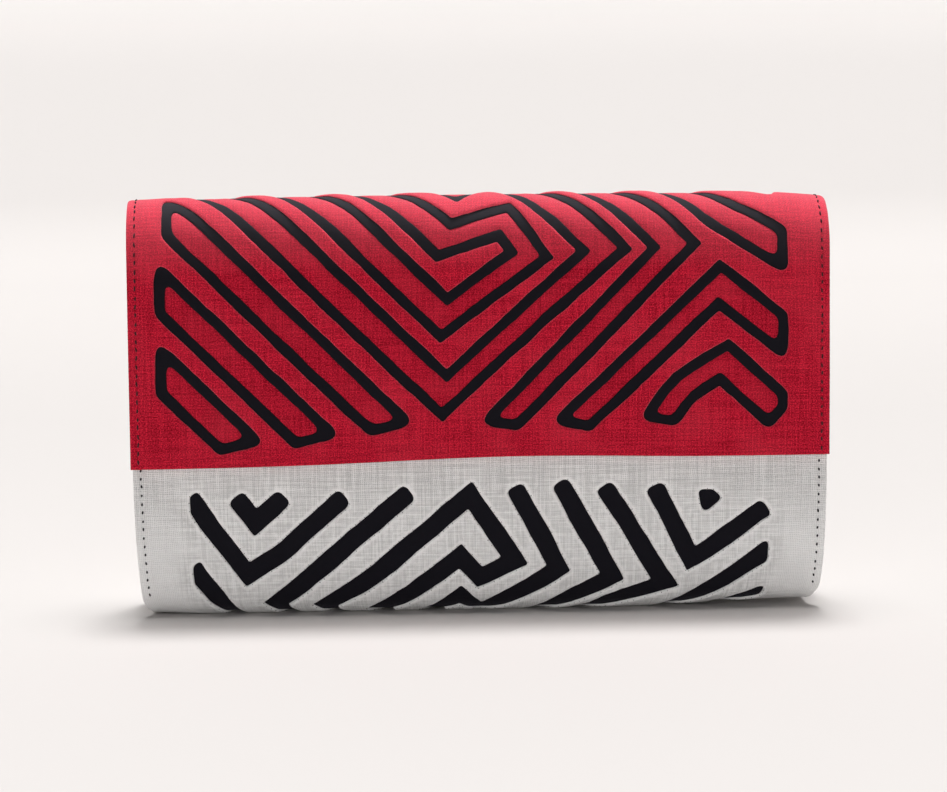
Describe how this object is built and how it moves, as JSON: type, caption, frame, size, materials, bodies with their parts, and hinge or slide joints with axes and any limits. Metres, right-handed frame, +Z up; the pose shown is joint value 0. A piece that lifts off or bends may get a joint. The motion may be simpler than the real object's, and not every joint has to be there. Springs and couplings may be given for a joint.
{
  "type": "fold-over clutch bag of mola panels",
  "caption": "Slim cloth bag of reverse-applique panels: a red flap folds over the top and down the front of a natural linen body that stands on its flat base.",
  "frame": {"origin": "on the floor, below the middle of the bag's bounding box", "axes": "+X to the bag's right as seen from the front, +Y from front to back, +Z up"},
  "size_m": [0.28, 0.0452, 0.1685],
  "materials": {
    "red_linen": "matt plain-weave linen",
    "natural_linen": "matt plain-weave linen",
    "black_cotton": "matt plain-weave cotton"
  },
  "bodies": {
    "root": {"body_mola": "natural_linen", "body_base": "black_cotton", "flap_mola": "red_linen", "flap_base": "black_cotton", "gusset_left": "natural_linen", "gusset_right": "natural_linen"}
  },
  "joints": []
}
